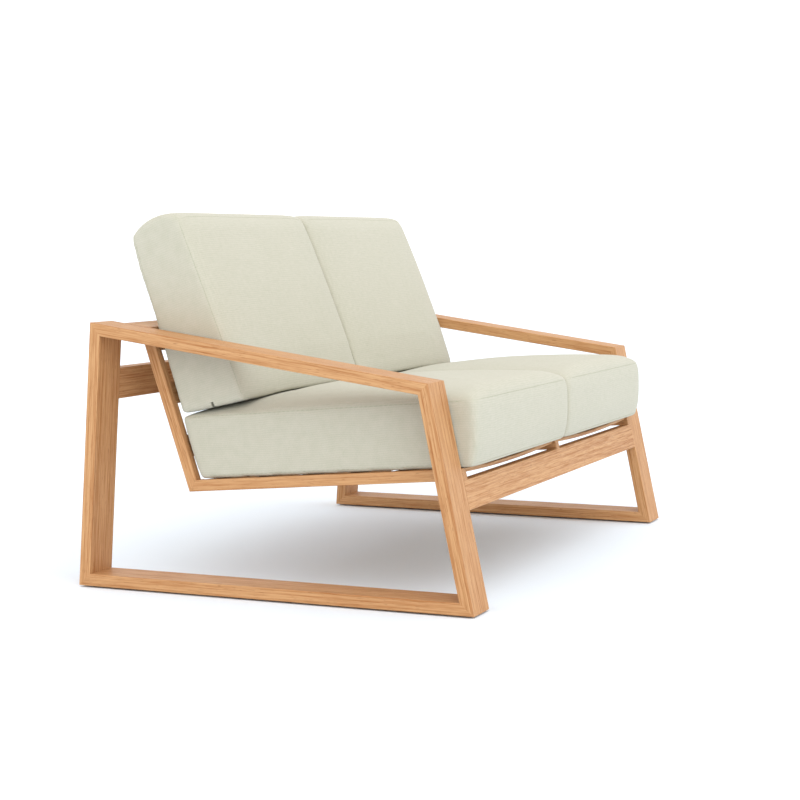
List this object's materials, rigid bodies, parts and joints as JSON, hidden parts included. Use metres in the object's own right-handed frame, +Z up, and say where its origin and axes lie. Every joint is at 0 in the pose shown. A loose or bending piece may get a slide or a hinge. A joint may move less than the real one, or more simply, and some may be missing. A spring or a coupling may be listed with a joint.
{
  "type": "patio loveseat",
  "caption": "Low outdoor loveseat with slanted, mitred board side frames, curved slats in leaning seat frames, and loose box cushions.",
  "frame": {"origin": "on the floor, in the middle of the loveseat's width and depth", "axes": "+X across the width, to the right of someone who stands in front; the sitter looks towards -Y; +Z up"},
  "size_m": [1.422, 0.9, 0.7933],
  "materials": {
    "timber": "oiled, open grain",
    "glide": "matt",
    "cover": "ribbed plain weave",
    "foam": "open-cell foam",
    "zip": "woven tape",
    "slider": "blackened"
  },
  "bodies": {
    "frame": {"left_front_leg": "timber", "left_arm": "timber", "left_rear_leg": "timber", "left_runner": "timber", "right_front_leg": "timber", "right_arm": "timber", "right_rear_leg": "timber", "right_runner": "timber", "front_cross_rail": "timber", "rear_cross_rail": "timber", "top_cross_rail": "timber", "left_seat_rail": "timber", "left_back_rail": "timber", "centre_seat_rail": "timber", "centre_back_rail": "timber", "right_seat_rail": "timber", "right_back_rail": "timber", "left_seat_slat_1": "timber", "left_seat_slat_2": "timber", "left_seat_slat_3": "timber", "left_seat_slat_4": "timber", "left_seat_slat_5": "timber", "left_seat_slat_6": "timber", "right_seat_slat_1": "timber", "right_seat_slat_2": "timber", "right_seat_slat_3": "timber", "right_seat_slat_4": "timber", "right_seat_slat_5": "timber", "right_seat_slat_6": "timber", "left_back_slat_1": "timber", "left_back_slat_2": "timber", "left_back_slat_3": "timber", "right_back_slat_1": "timber", "right_back_slat_2": "timber", "right_back_slat_3": "timber", "mitre_splines": "timber", "cross_rail_tenons": "timber", "seat_frame_splines": "timber", "seat_frame_dowels": "timber", "glides": "glide"},
    "left_seat_cushion": {"left_seat_cushion_cover": "cover", "left_seat_cushion_core": "foam", "left_seat_cushion_zip": "zip"},
    "left_seat_cushion_zip_slider": {"left_seat_cushion_zip_slider": "slider"},
    "right_seat_cushion": {"right_seat_cushion_cover": "cover", "right_seat_cushion_core": "foam", "right_seat_cushion_zip": "zip"},
    "right_seat_cushion_zip_slider": {"right_seat_cushion_zip_slider": "slider"},
    "left_back_cushion": {"left_back_cushion_cover": "cover", "left_back_cushion_core": "foam", "left_back_cushion_zip": "zip"},
    "left_back_cushion_zip_slider": {"left_back_cushion_zip_slider": "slider"},
    "right_back_cushion": {"right_back_cushion_cover": "cover", "right_back_cushion_core": "foam", "right_back_cushion_zip": "zip"},
    "right_back_cushion_zip_slider": {"right_back_cushion_zip_slider": "slider"}
  },
  "joints": [
    {"name": "left_seat_cushion_lift_off", "type": "slide", "parent": "frame", "child": "left_seat_cushion", "axis": [0, -0.9962, 0.0872], "range_m": [0, 0.55]},
    {"name": "left_seat_cushion_zip_open", "type": "slide", "parent": "left_seat_cushion", "child": "left_seat_cushion_zip_slider", "axis": [1, 0, 0], "range_m": [0, 0.54]},
    {"name": "right_seat_cushion_lift_off", "type": "slide", "parent": "frame", "child": "right_seat_cushion", "axis": [0, -0.9962, 0.0872], "range_m": [0, 0.55]},
    {"name": "right_seat_cushion_zip_open", "type": "slide", "parent": "right_seat_cushion", "child": "right_seat_cushion_zip_slider", "axis": [1, 0, 0], "range_m": [0, 0.54]},
    {"name": "left_back_cushion_lift_off", "type": "slide", "parent": "frame", "child": "left_back_cushion", "axis": [0, 0.3206, 0.9472], "range_m": [0, 0.45]},
    {"name": "left_back_cushion_zip_open", "type": "slide", "parent": "left_back_cushion", "child": "left_back_cushion_zip_slider", "axis": [1, 0, 0], "range_m": [0, 0.54]},
    {"name": "right_back_cushion_lift_off", "type": "slide", "parent": "frame", "child": "right_back_cushion", "axis": [0, 0.3206, 0.9472], "range_m": [0, 0.45]},
    {"name": "right_back_cushion_zip_open", "type": "slide", "parent": "right_back_cushion", "child": "right_back_cushion_zip_slider", "axis": [1, 0, 0], "range_m": [0, 0.54]}
  ]
}
